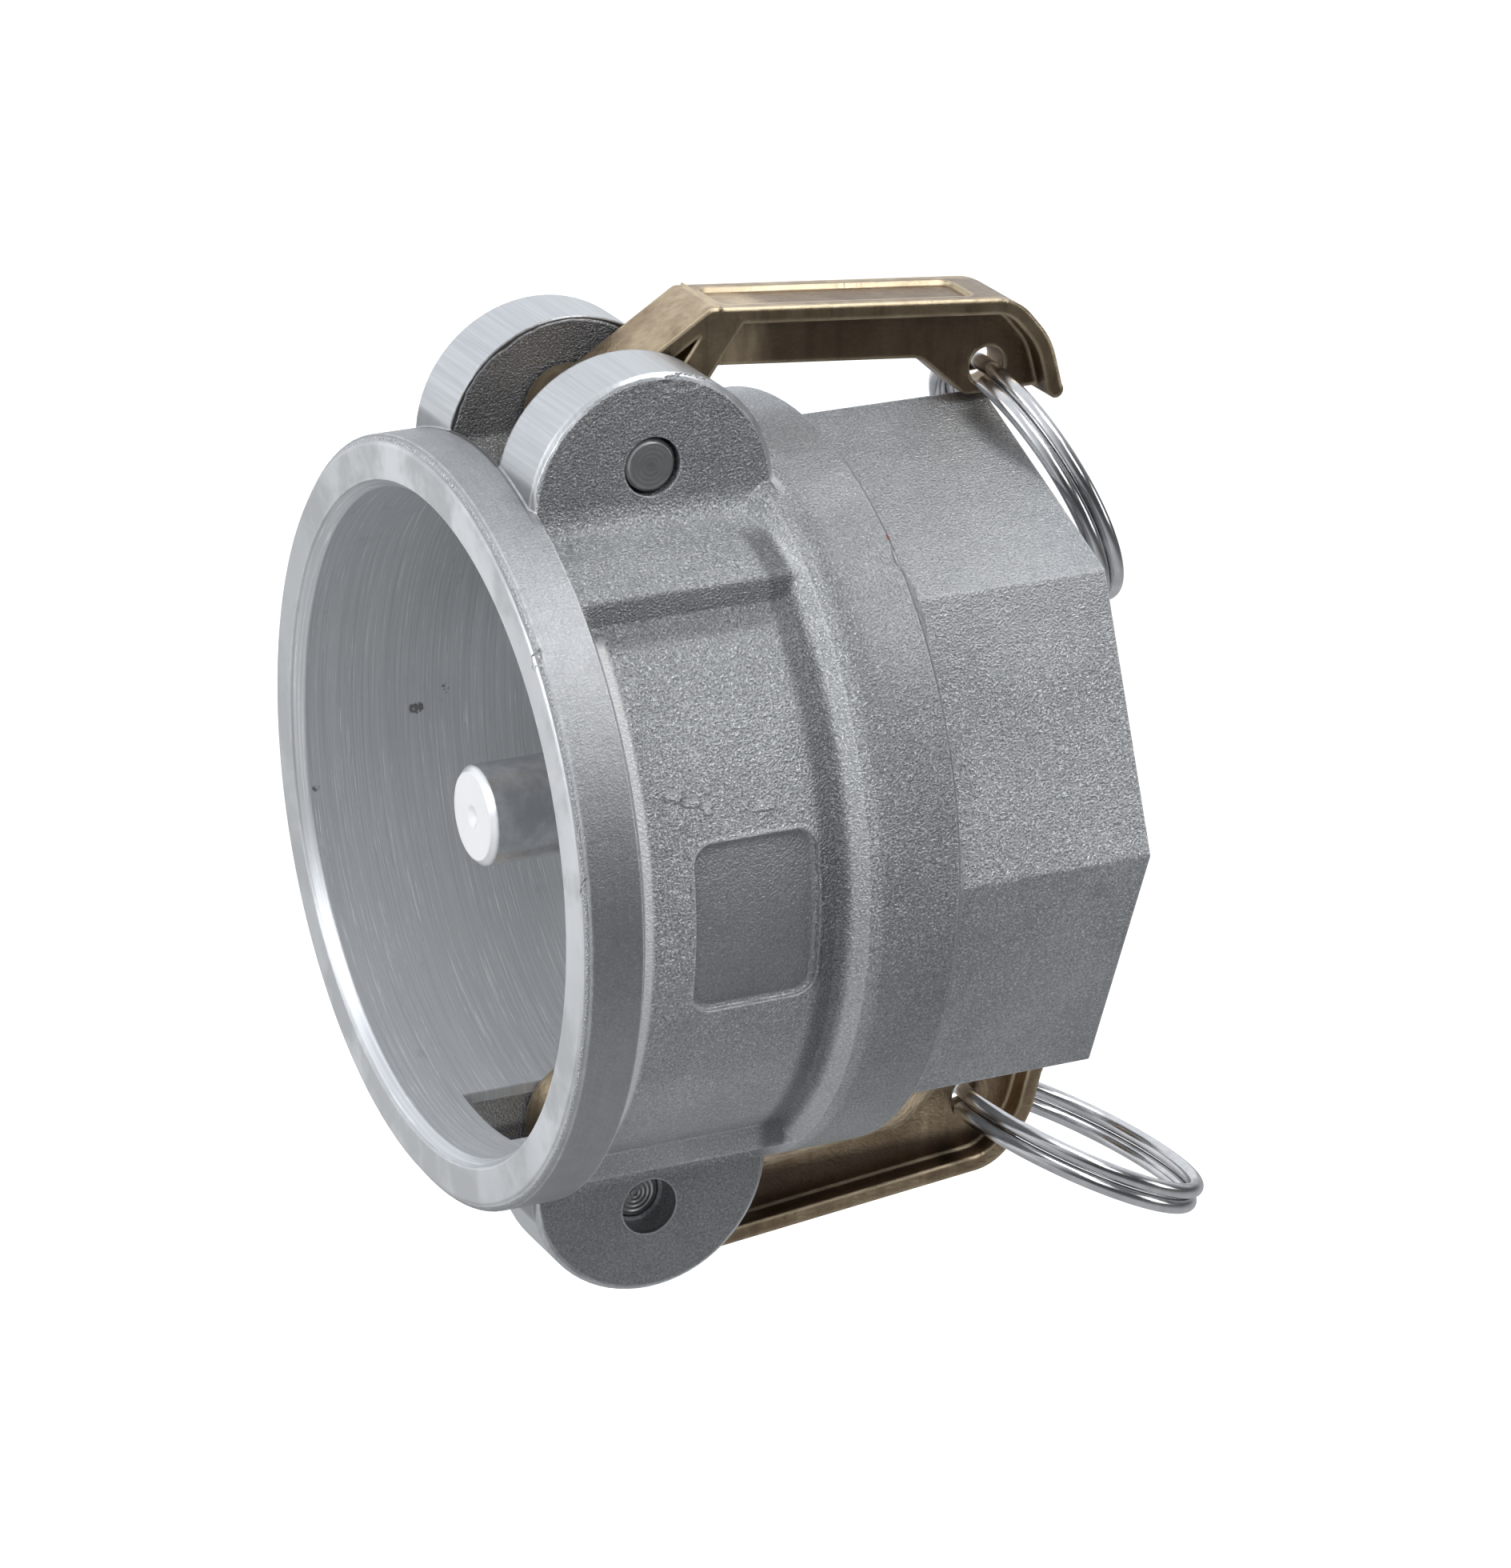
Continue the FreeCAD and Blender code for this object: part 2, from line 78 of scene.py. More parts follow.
class Shader:
    """The node tree of a material or a world, built up from short calls."""

    def __init__(self, owner, coordinates="Object"):
        self.owner = owner
        owner.use_nodes = True
        self.nodes = owner.node_tree.nodes
        self.links = owner.node_tree.links
        self.nodes.clear()
        self.place = self.nodes.new("ShaderNodeTexCoord").outputs[coordinates]

    def feed(self, socket, value):
        """Link a socket to another one, or set its value."""
        if isinstance(value, bpy.types.NodeSocket):
            self.links.new(value, socket)
        elif socket.type == "RGBA" and len(value) == 3:
            socket.default_value = (*value, 1.0)
        else:
            socket.default_value = value

    def math(self, operation, first, second=0.0):
        node = self.nodes.new("ShaderNodeMath")
        node.operation = operation
        self.feed(node.inputs[0], first)
        self.feed(node.inputs[1], second)
        return node.outputs[0]

    def chain(self, operation, values):
        result = values[0]
        for value in values[1:]:
            result = self.math(operation, result, value)
        return result

    def product(self, *values):
        """Values multiplied. Masks multiplied are 1 where all of them are."""
        return self.chain("MULTIPLY", values)

    def largest(self, *values):
        """Largest value. Of masks, 1 where any of them is."""
        return self.chain("MAXIMUM", values)

    def total(self, *values):
        return self.chain("ADD", values)

    def inverse(self, mask):
        return self.math("SUBTRACT", 1.0, mask)

    def off(self, value, centre):
        """Distance of a value from its centre, on either side."""
        return self.math("ABSOLUTE", self.math("SUBTRACT", value, centre))

    def vector(self, operation, first, second=(0.0, 0.0, 0.0)):
        node = self.nodes.new("ShaderNodeVectorMath")
        node.operation = operation
        self.feed(node.inputs[0], first)
        self.feed(node.inputs[1], second)
        return node.outputs["Value" if operation in ("DOT_PRODUCT", "LENGTH") else "Vector"]

    def parts(self, vector):
        node = self.nodes.new("ShaderNodeSeparateXYZ")
        self.links.new(vector, node.inputs[0])
        return node.outputs

    def joined(self, x, y, z):
        node = self.nodes.new("ShaderNodeCombineXYZ")
        for socket, value in zip(node.inputs, (x, y, z)):
            self.feed(socket, value)
        return node.outputs[0]

    def length(self, x, y, z):
        return self.vector("LENGTH", self.joined(x, y, z))

    def millimetres(self):
        """Station, y and z of the shaded point, in millimetres."""
        behind_mouth = self.vector("SUBTRACT", self.place, (station(0.0), 0.0, 0.0))
        return self.vector("DIVIDE", behind_mouth, (MM, MM, MM))

    def step(self, value, start, end, lowest=0.0, highest=1.0):
        """Smooth step from lowest at start to highest at end."""
        node = self.nodes.new("ShaderNodeMapRange")
        node.interpolation_type = "SMOOTHSTEP"
        self.feed(node.inputs["Value"], value)
        falling = start > end
        node.inputs["From Min"].default_value = end if falling else start
        node.inputs["From Max"].default_value = start if falling else end
        node.inputs["To Min"].default_value = highest if falling else lowest
        node.inputs["To Max"].default_value = lowest if falling else highest
        return node.outputs[0]

    def noise(self, scale, detail=3.0, roughness=0.55, vector=None):
        node = self.nodes.new("ShaderNodeTexNoise")
        self.links.new(vector or self.place, node.inputs["Vector"])
        node.inputs["Scale"].default_value = scale
        node.inputs["Detail"].default_value = detail
        node.inputs["Roughness"].default_value = roughness
        return node.outputs["Fac"]

    def streaks(self, scales, detail, roughness):
        """Noise with a scale of its own along each axis."""
        return self.noise(1.0, detail, roughness, self.vector("MULTIPLY", self.place, scales))

    def mix(self, factor, first, second):
        """Mix of two colours."""
        node = self.nodes.new("ShaderNodeMix")
        node.data_type = "RGBA"
        node.clamp_factor = True
        self.feed(node.inputs["Factor"], factor)
        self.feed(node.inputs[6], first)
        self.feed(node.inputs[7], second)
        return node.outputs[2]

    def tint(self, color, new, *masks):
        """Lay a new colour over another, as far as the product of the masks says."""
        return self.mix(self.product(*masks), color, new)

    def blend(self, factor, first, second):
        """Mix of two numbers."""
        node = self.nodes.new("ShaderNodeMix")
        node.data_type = "FLOAT"
        node.clamp_factor = True
        self.feed(node.inputs["Factor"], factor)
        self.feed(node.inputs[2], first)
        self.feed(node.inputs[3], second)
        return node.outputs[0]

    def bevel(self, radius):
        """Normal of the surface with its edges rounded off."""
        node = self.nodes.new("ShaderNodeBevel")
        node.samples = 4
        node.inputs["Radius"].default_value = radius
        return node.outputs["Normal"]

    def wear(self, rounded, reach=0.12):
        """1 along the edges of a piece, where its rounded normal turns away."""
        geometry = self.nodes.new("ShaderNodeNewGeometry")
        near = self.vector("DOT_PRODUCT", rounded, geometry.outputs["Normal"])
        return self.step(near, 1.0 - reach * 0.15, 1.0 - reach)

    def bump(self, height, depth, normal=None):
        node = self.nodes.new("ShaderNodeBump")
        node.inputs["Distance"].default_value = depth
        self.feed(node.inputs["Height"], height)
        if normal is not None:
            self.links.new(normal, node.inputs["Normal"])
        return node.outputs["Normal"]

    def finish(self, color, roughness, metallic, normal=None, **more):
        surface = self.nodes.new("ShaderNodeBsdfPrincipled")
        self.feed(surface.inputs["Base Color"], color)
        self.feed(surface.inputs["Roughness"], roughness)
        self.feed(surface.inputs["Metallic"], metallic)
        if normal is not None:
            self.links.new(normal, surface.inputs["Normal"])
        for name, value in more.items():
            self.feed(surface.inputs[name.replace("_", " ")], value)
        out = self.nodes.new("ShaderNodeOutputMaterial")
        self.links.new(surface.outputs[0], out.inputs[0])
        return self.owner

    def background(self, color, strength):
        node = self.nodes.new("ShaderNodeBackground")
        self.feed(node.inputs["Color"], color)
        self.feed(node.inputs["Strength"], strength)
        return node.outputs[0]


def new_shader(name):
    return Shader(bpy.data.materials.new(name))


# Casting

SKIN_DULL = (0.43, 0.442, 0.455)
SKIN_LIGHT = (0.53, 0.542, 0.555)
SKIN_PIT = (0.25, 0.258, 0.268)
SKIN_SPARKLE = (0.88, 0.885, 0.89)
PANEL_FLOOR = (0.25, 0.257, 0.265)
# Colour of painted shade
SHADE = (0.10, 0.102, 0.106)
# Light bare metal on worn edges and scratches, and the colour of the painted highlight at the slope's
# end
BARE_METAL_AND_GLINT = (0.90, 0.91, 0.92)
WHITE = (1.0, 1.0, 1.0)
TURNED_DULL = (0.60, 0.617, 0.635)
TURNED_LIGHT = (0.74, 0.757, 0.775)
SCUFF = (0.42, 0.43, 0.44)
RIM_DARK = (0.16, 0.165, 0.172)
RIM_LIGHT = (0.34, 0.349, 0.36)
FACE_BLOTCH = (0.50, 0.512, 0.525)
FAR_FACE_SHADE = (0.36, 0.37, 0.38)
LINISHED_GREY = (0.30, 0.306, 0.313)
EAR_GAP_SHADE = (0.13, 0.13, 0.135)
STAIN_DARK = (0.10, 0.10, 0.105)
FLASH_LIGHT = (0.80, 0.81, 0.82)
RUST_RED = (0.40, 0.10, 0.05)

# Small marks: station, y, z and the three half sizes, all in millimetres
STAINS = (
    (18.9, 46.2, -2.0, 1.3, 2.0, 0.9),
    (23.5, 46.2, 0.3, 0.6, 2.0, 0.8),
    (2.7, 44.8, -11.2, 0.6, 2.0, 0.5),
    (16.6, -46.9, 17.6, 1.2, 2.0, 0.5),
)
RUST = ((55.1, -30.5, 43.3, 0.7, 0.7, 0.7),)
FLASH = (
    (15.6, -46.9, 18.5, 1.7, 2.5, 0.7),
    (18.0, -47.3, 17.3, 1.6, 2.5, 0.6),
    (20.2, -47.6, 16.4, 0.8, 2.5, 1.3),
    (28.2, -47.8, 15.4, 1.9, 2.5, 0.7),
    (54.9, -33.4, 41.2, 0.8, 1.8, 2.2),
)
CHIPS = (
    (0.3, -37.6, 36.6, 1.2, 0.7, 1.6),
    (9.3, -45.2, 21.9, 0.7, 0.8, 1.5),
    (0.2, -52.0, 10.4, 1.0, 0.5, 1.8),
    (30.2, -19.4, 64.9, 4.2, 1.0, 1.2),
)


def marks_at(s, place, marks):
    """Mask that is 1 inside small ellipsoids with ragged edges."""
    ragged = s.product(s.math("SUBTRACT", s.noise(1100.0, 3.0, 0.7), 0.5), 1.6)
    masks = []
    for mark in marks:
        middle, half_sizes = mark[:3], mark[3:]
        stretched = s.vector("DIVIDE", s.vector("SUBTRACT", place, middle), half_sizes)
        masks.append(s.step(s.total(s.vector("LENGTH", stretched), ragged), 1.1, 0.7))
    return s.largest(*masks)


def cast_areas(s, place):
    """Masks of the casting's areas, each found by its place in millimetres."""
    along, y, z = s.parts(place)
    radius = s.length(0.0, y, z)
    across = s.math("ABSOLUTE", y)
    height = s.math("ABSOLUTE", z)
    area = SimpleNamespace()

    # Turned faces
    area.bore = s.product(
        s.step(radius, SOCKET_RADIUS + 1.7, SOCKET_RADIUS + 1.3),
        s.step(along, BAND_START + 2.1, BAND_START + 1.7),
    )
    area.inner_bore = s.product(area.bore, s.step(along, 1.7, 2.2))
    area.face = s.product(s.step(along, 0.5, 0.2), s.step(radius, RIM_RADIUS + 0.1, RIM_RADIUS))
    area.far_face = s.product(area.face, s.step(y, 10.0, 45.0))
    area.rim = s.product(
        s.step(along, RIM_END + 0.1, RIM_END - 0.2),
        s.step(radius, RIM_RADIUS - 0.6, RIM_RADIUS - 0.3),
    )
    thread = s.product(
        s.step(radius, THREAD_ROOT + 2.55, THREAD_ROOT + 2.35),
        s.step(along, THREAD_START - 1.8, THREAD_START - 1.5),
    )

    # Ears: linished round their edge, with painted shade between them and on their outer faces
    from_centre = s.length(
        s.math("SUBTRACT", along, EAR_STATION), 0.0, s.math("SUBTRACT", height, EAR_HEIGHT))
    on_ear = s.step(from_centre, EAR_RADIUS + 0.9, EAR_RADIUS + 0.3)
    wander = s.product(s.math("SUBTRACT", s.noise(160.0, 4.0), 0.5), 1.2)
    area.ear_edge = s.product(
        on_ear,
        s.step(height, EAR_HEIGHT - 1.3, EAR_HEIGHT + 0.7),
        s.step(s.total(from_centre, wander), EAR_RADIUS - 0.9, EAR_RADIUS - 0.5),
    )
    area.ear_inside = s.product(
        on_ear,
        s.step(height, EAR_HEIGHT + 1.7, EAR_HEIGHT + 3.2),
        s.step(across, EAR_INSIDE + 0.3, EAR_INSIDE + 0.1),
    )
    ear_outside_shade = s.product(
        on_ear,
        s.step(height, EAR_HEIGHT - 0.8, EAR_HEIGHT + 1.2),
        s.step(across, EAR_OUTSIDE - 1.4, EAR_OUTSIDE - 0.6),
    )
    area.machined = s.largest(area.bore, area.face, thread, s.product(area.rim, 0.80), area.ear_edge)

    # Sunk panel with rounded corners, and the light line round it
    past_corner = s.math("SUBTRACT", s.off(along, PANEL_STATION), PANEL_HALF_LENGTH - PANEL_CORNER)
    above_corner = s.math("SUBTRACT", height, PANEL_HALF_HEIGHT - PANEL_CORNER)
    from_corner = s.length(s.largest(past_corner, 0.0), 0.0, s.largest(above_corner, 0.0))
    panel_edge = s.math("SUBTRACT", from_corner, PANEL_CORNER)
    near_side = s.product(s.step(y, -44.0, -45.0), s.step(radius, 47.6, 48.2))
    area.panel = s.product(near_side, s.step(panel_edge, 0.0, -0.5))
    area.frame_line = s.product(near_side, s.step(s.math("ABSOLUTE", panel_edge), 0.9, 0.1))

    # Cast skin that is smoother than the rest
    # far_top is smoother skin, and it also gets painted shade
    area.far_top = s.product(s.step(z, 22.0, 30.0), s.step(along, 44.0, 47.0))
    area.smooth = s.largest(
        s.product(area.panel, 0.6),
        s.product(s.step(z, 0.0, -30.0), 0.55),
        s.product(area.far_top, 0.65),
    )

    # Slope up to the band, the band itself and the shelf under the near ears, with painted shade on the
    # slope, under the shelf and on the band, and a painted highlight at the slope's end
    outside = s.product(
        s.step(across, 22.0, 28.0), s.step(radius, WALL_RADIUS - 2.0, WALL_RADIUS - 1.4))
    slope = s.product(
        outside,
        s.step(along, BAND_START - 6.7, BAND_START - 4.7),
        s.step(along, BAND_START - 1.5, BAND_START - 2.7),
    )
    # Painted highlight along the end of the slope, where it meets the band
    area.slope_end = s.product(
        outside,
        s.step(along, BAND_START - 2.1, BAND_START - 1.4),
        s.step(along, BAND_START + 0.2, BAND_START - 0.2),
    )
    area.band = s.product(
        outside,
        s.step(along, BAND_START + 1.2, BAND_START + 2.7),
        s.step(along, BAND_END + 0.1, BAND_END - 0.3),
    )
    under_ledge_shade = s.product(
        outside,
        s.step(across, SADDLE_HALF_WIDTH - 0.3, SADDLE_HALF_WIDTH + 0.1),
        s.step(across, SADDLE_HALF_WIDTH + 3.4, SADDLE_HALF_WIDTH + 1.8),
        s.step(z, 0.0, 5.0),
        s.step(along, RIM_END + 0.7, RIM_END + 2.7),
        s.step(along, BAND_START - 2.8, BAND_START - 3.8),
    )
    # Painted shade: on the slope, under the shelf and on the ears' outer faces
    area.shaded = s.largest(
        s.product(slope, 0.62), s.product(under_ledge_shade, 0.42), s.product(ear_outside_shade, 0.42))
    area.open_edge = s.step(s.largest(slope, under_ledge_shade), 0.30, 0.05)

    # Raised line at the foot of the rim, with a painted highlight along it
    area.foot_line = s.product(
        s.step(s.off(along, RIM_END + 2.3), 1.1, 0.3),
        s.step(height, 37.0, 35.5),
        s.step(radius, WALL_RADIUS + 1.6, WALL_RADIUS + 0.8),
        s.step(radius, WALL_RADIUS - 1.0, WALL_RADIUS - 0.4),
    )
    return area


def cast_textures(s):
    """Noises that relief, colour and roughness share."""
    return SimpleNamespace(
        grain=s.noise(3000.0, 2.0, 0.7),
        blotch=s.noise(70.0, 4.0, 0.6),
        wrinkle=s.noise(330.0, 4.0, 0.7),
        # Tool marks run round the axis, so they change fast along it
        turned=s.streaks((3600.0, 30.0, 30.0), 3.0, 0.7),
    )


def skin_color(s, area, texture):
    """Colour of the cast skin, with painted shade and painted highlights laid over it."""
    color = s.mix(s.step(texture.blotch, 0.30, 0.75), SKIN_DULL, SKIN_LIGHT)
    rough_skin = s.inverse(area.smooth)
    pits = s.step(texture.grain, 0.50, 0.34)
    color = s.tint(color, SKIN_PIT, pits, s.blend(rough_skin, 0.35, 0.85))
    color = s.tint(color, SKIN_SPARKLE, s.step(texture.grain, 0.55, 0.66), rough_skin)
    color = s.tint(color, PANEL_FLOOR, area.panel, 0.48)
    # Painted shade over the band
    color = s.tint(color, SHADE, area.band, 0.30)
    # Painted shade on the top at the back of the casting
    color = s.tint(color, SHADE, area.far_top, 0.10)
    # Painted shade on the slope, under the shelf and on the ears' outer faces
    color = s.tint(color, SHADE, area.shaded)
    # Painted highlight at the slope's end
    color = s.tint(color, BARE_METAL_AND_GLINT, area.slope_end, 0.30)
    # Painted highlight along the raised line at the rim's foot
    return s.tint(color, WHITE, area.foot_line, 0.75)


def turned_color(s, area, texture):
    """Colour of the turned faces, the rim and the linished ear edges, with painted shade on the far
    part of the mouth face.
    """
    color = s.mix(s.step(texture.turned, 0.3, 0.7), TURNED_DULL, TURNED_LIGHT)
    scuffs = s.step(s.noise(150.0, 6.0, 0.75), 0.60, 0.70)
    color = s.tint(color, SCUFF, scuffs, 0.30)
    scored = s.step(s.streaks((2800.0, 65.0, 65.0), 4.0, 0.8), 0.57, 0.64)
    color = s.tint(color, BARE_METAL_AND_GLINT, scored, area.bore)
    color = s.tint(color, s.mix(texture.wrinkle, RIM_DARK, RIM_LIGHT), area.rim, 0.75)
    color = s.tint(color, FACE_BLOTCH, area.face, s.step(texture.blotch, 0.42, 0.62))
    # Painted shade on the far part of the mouth face
    color = s.tint(color, FAR_FACE_SHADE, area.far_face, 0.45)
    return s.tint(color, LINISHED_GREY, area.ear_edge, 0.20)


def surface_relief(s, area, texture):
    """Height of the cast skin and of the tool marks, in millimetres."""
    skin = s.total(texture.grain, s.product(s.noise(420.0, 2.0), 0.30))
    cast = s.product(skin, s.blend(area.smooth, 0.43, 0.16))
    linished = s.streaks((110.0, 1500.0, 110.0), 3.0, 0.7)
    tooled = s.product(s.blend(area.ear_edge, texture.turned, linished), 0.035)
    return s.total(
        s.blend(area.machined, cast, tooled),
        s.product(texture.wrinkle, area.rim, 0.10),
        s.product(area.frame_line, 0.26),
        s.product(area.foot_line, 0.35),
    )


def cast_body():
    """Cast aluminium: grainy skin, with turned and linished areas found by place."""
    s = new_shader("cast_aluminium_body")
    place = s.millimetres()
    area = cast_areas(s, place)
    texture = cast_textures(s)
    flash = marks_at(s, place, FLASH)
    chips = marks_at(s, place, CHIPS)

    relief = s.total(
        surface_relief(s, area, texture), s.product(flash, 1.5), s.product(chips, -0.45))
    rounded = s.bevel(0.5 * MM)
    normal = s.bump(relief, 1.0 * MM, rounded)

    color = s.mix(area.machined, skin_color(s, area, texture), turned_color(s, area, texture))
    # Painted shade on the inner faces of the ears
    color = s.tint(color, EAR_GAP_SHADE, area.ear_inside, 0.8)
    chipped = s.blend(s.step(s.noise(330.0, 5.0, 0.7), 0.40, 0.60), 0.45, 0.80)
    color = s.tint(color, BARE_METAL_AND_GLINT, s.wear(rounded), area.open_edge, chipped)
    spotted = s.step(s.noise(900.0, 3.0), 0.42, 0.55)
    color = s.tint(color, STAIN_DARK, marks_at(s, place, STAINS), spotted, 0.8)
    color = s.tint(color, FLASH_LIGHT, flash, 0.375)
    color = s.tint(color, RUST_RED, marks_at(s, place, RUST))

    cast_rough = s.blend(s.step(texture.grain, 0.5, 0.64), 0.48, 0.29)
    turned_rough = s.blend(texture.turned, 0.30, 0.44)
    rough = s.blend(area.rim, s.blend(area.machined, cast_rough, turned_rough), 0.52)
    # Less metallic in the deep bore, and along the rim's foot so that its painted highlight shows
    dull = s.largest(area.inner_bore, s.product(area.foot_line, 0.8))
    return s.finish(color, rough, s.inverse(s.product(dull, 0.75)), normal)


# Other materials

def turned_probe():
    """Bright drawn bar with a turned end."""
    s = new_shader("probe_bar")
    along, y, z = s.parts(s.millimetres())
    face = s.step(along, PROBE_TIP + 0.9, PROBE_TIP + 0.5)
    drawn = s.streaks((40.0, 1800.0, 1800.0), 3.0, 0.7)
    rings = s.noise(1.0, 2.0, 0.6, s.joined(s.product(s.length(0.0, y, z), 4.2), 0.0, 0.0))
    stain = s.step(s.noise(120.0, 5.0, 0.7), 0.35, 0.7)
    color = s.mix(stain, (0.50, 0.51, 0.53), (0.78, 0.79, 0.81))
    color = s.tint(color, (0.97, 0.975, 0.98), face)
    normal = s.bump(s.blend(face, drawn, rings), 0.04 * MM, s.bevel(0.3 * MM))
    return s.finish(color, s.blend(face, 0.34, 0.30), 0.7, normal)


def aged_bronze():
    """Cast bronze gone brown, with golden worn edges and a rough skin."""
    s = new_shader("aged_bronze")
    along, y, z = s.parts(s.millimetres())
    across = s.math("ABSOLUTE", y)

    # The web between the flanges is dark behind the crotch. The lower handle is
    # bare on the side of the casting, and its groove lies further down.
    web = s.step(across, 5.2, 4.2)
    crotch = s.step(along, 52.0, 47.0)
    bare = s.product(s.step(z, 0.0, -1.0), s.step(z, -62.5, -58.5))
    groove = s.product(s.step(z, -59.5, -61.5), s.step(across, 6.2, 5.6))

    blotch = s.noise(95.0, 5.0, 0.65)
    streaks = s.step(s.streaks((420.0, 420.0, 60.0), 3.0, 0.6), 0.55, 0.35)
    color = s.mix(s.step(blotch, 0.30, 0.70), (0.32, 0.232, 0.145), (0.60, 0.475, 0.315))
    color = s.tint(color, (0.17, 0.115, 0.08), streaks, 0.35)
    color = s.tint(
        color, (0.15, 0.10, 0.07), web, s.blend(crotch, 0.62, 0.0), s.blend(bare, 1.0, 0.1))
    rounded = s.bevel(0.9 * MM)
    color = s.tint(color, (0.90, 0.75, 0.52), s.wear(rounded, 0.16), s.step(blotch, 0.15, 0.50))
    color = s.tint(color, (0.06, 0.045, 0.035), groove, 0.70)

    skin = s.total(s.product(s.noise(2000.0, 2.0, 0.6), 0.6), s.noise(380.0, 3.0))
    normal = s.bump(s.product(skin, 0.13), 1.0 * MM, rounded)
    metal = s.inverse(s.product(web, crotch, s.step(along, 36.0, 38.0), 0.5))
    return s.finish(color, s.blend(blotch, 0.40, 0.27), metal, normal)


def dark_pin():
    """Turned steel pin, dark, with rings on its end faces."""
    s = new_shader("dark_pin_steel")
    along, y, z = s.parts(s.millimetres())
    from_axis = s.math("SUBTRACT", s.math("ABSOLUTE", z), PIVOT_HEIGHT)
    radius = s.length(s.math("SUBTRACT", along, PIVOT_STATION), 0.0, from_axis)
    ribbed = s.blend(s.step(z, 0.0, -1.0), 0.3, 2.2)
    rings = s.product(s.math("SINE", s.product(radius, 9.5)), ribbed)
    color = s.mix(s.noise(500.0, 4.0), (0.44, 0.44, 0.445), (0.74, 0.735, 0.73))
    color = s.tint(color, (0.42, 0.42, 0.42), s.step(radius, 0.9, 0.2), 0.5)
    normal = s.bump(s.total(rings, s.noise(1500.0, 3.0)), 0.03 * MM, s.bevel(0.25 * MM))
    return s.finish(color, 0.36, 1.0, normal)


def bright_ring():
    """Bright spring steel wire with faint drawing marks."""
    s = new_shader("bright_ring_wire")
    stain = s.noise(260.0, 4.0)
    color = s.mix(s.step(stain, 0.35, 0.75), (0.58, 0.58, 0.59), (0.74, 0.74, 0.75))
    normal = s.bump(s.noise(900.0, 4.0, 0.7), 0.003 * MM)
    return s.finish(color, s.blend(stain, 0.16, 0.24), 1.0, normal)


def plated_steel():
    """Zinc-plated screw and washer."""
    s = new_shader("zinc_plated_steel")
    speck = s.noise(700.0, 5.0, 0.7)
    color = s.mix(speck, (0.40, 0.40, 0.39), (0.66, 0.66, 0.64))
    normal = s.bump(speck, 0.03 * MM, s.bevel(0.25 * MM))
    return s.finish(color, s.blend(speck, 0.28, 0.42), 1.0, normal)


def gasket_rubber():
    """Black rubber with a dusty bloom."""
    s = new_shader("gasket_rubber")
    bloom = s.noise(130.0, 6.0, 0.7)
    color = s.mix(s.step(bloom, 0.4, 0.8), (0.012, 0.012, 0.012), (0.045, 0.044, 0.042))
    normal = s.bump(s.noise(1600.0, 3.0), 0.03 * MM, s.bevel(0.3 * MM))
    return s.finish(color, s.blend(bloom, 0.55, 0.75), 0.0, normal)


def pale_floor():
    """White studio paper that the camera sees a little brighter than it is."""
    s = new_shader("studio_paper")
    color = s.mix(s.noise(9.0, 4.0), (0.40, 0.40, 0.40), (0.43, 0.43, 0.43))
    ray = s.nodes.new("ShaderNodeLightPath").outputs

    # Mirrored in the metal, one end of the paper is dim and the other glows
    x, y, z = s.parts(s.place)
    towards_glow = s.math("SUBTRACT", s.product(y, 0.6), s.product(x, 0.8))
    dim = s.product(ray["Is Glossy Ray"], s.step(towards_glow, -0.14, -0.46))
    color = s.tint(color, (0.06, 0.06, 0.06), dim)
    glow = s.total(
        s.product(ray["Is Camera Ray"], 0.82),
        s.product(ray["Is Glossy Ray"], s.step(towards_glow, -0.03, 0.43), 0.48),
    )
    return s.finish(color, 0.9, 0.0, None, Emission_Color=WHITE, Emission_Strength=glow)


body_material = cast_body()
finishes = {
    "coupler_body": body_material,
    "gasket": gasket_rubber(),
    "probe_rod": turned_probe(),
    "probe_screw": plated_steel(),
}
finishes["probe_lock_washer"] = finishes["probe_screw"]
bronze = aged_bronze()
wire = bright_ring()
pin = dark_pin()
for end in ("top", "bottom"):
    finishes["cam_handle_" + end] = bronze
    finishes["pivot_pin_" + end] = pin
    finishes["pull_ring_" + end] = wire

for name, material in finishes.items():
    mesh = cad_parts[name].data
    mesh.materials.clear()
    mesh.materials.append(material)


# Forms added to the casting: the turns of the pipe thread and a cast fillet

def mesh_piece(name, vertices, faces, material, smooth=True):
    mesh = bpy.data.meshes.new(name)
    mesh.from_pydata(vertices, [], faces)
    mesh.validate()
    mesh.update()
    piece = bpy.data.objects.new(name, mesh)
    bpy.context.scene.collection.objects.link(piece)
    mesh.materials.append(material)
    for polygon in mesh.polygons:
        polygon.use_smooth = smooth
    return piece


def round_axis(along, radius, angle):
    """Point at a station, radius and angle round the bore axis, in metres."""
    return (station(along), radius * MM * math.sin(angle), radius * MM * math.cos(angle))


def pipe_thread():
    """Helical ridge from the thread's root to its crest, run out at both ends."""
    per_turn = 96
    run_out = 0.4 * per_turn
    depth = THREAD_ROOT - THREAD_CREST
    # Outline of the ridge: shares of the pitch and of the depth
    outline = ((-0.47, 0.0), (-0.07, 1.0), (0.07, 1.0), (0.47, 0.0))
    count = int((THREAD_END - THREAD_START) / THREAD_PITCH * per_turn)
    vertices, faces = [], []
    for index in range(count + 1):
        turns = index / per_turn
        fade = min(1.0, index / run_out, (count - index) / run_out)
        for forward, inward in outline:
            along = THREAD_START + THREAD_PITCH * (turns + forward)
            radius = THREAD_ROOT - depth * inward * fade
            vertices.append(round_axis(along, radius, 2 * math.pi * turns))
    rows = len(outline)
    for index in range(count):
        for edge in range(rows - 1):
            first = index * rows + edge
            faces.append((first, first + 1, first + rows + 1, first + rows))
    return mesh_piece("pipe_thread_ridge", vertices, faces, body_material, smooth=False)


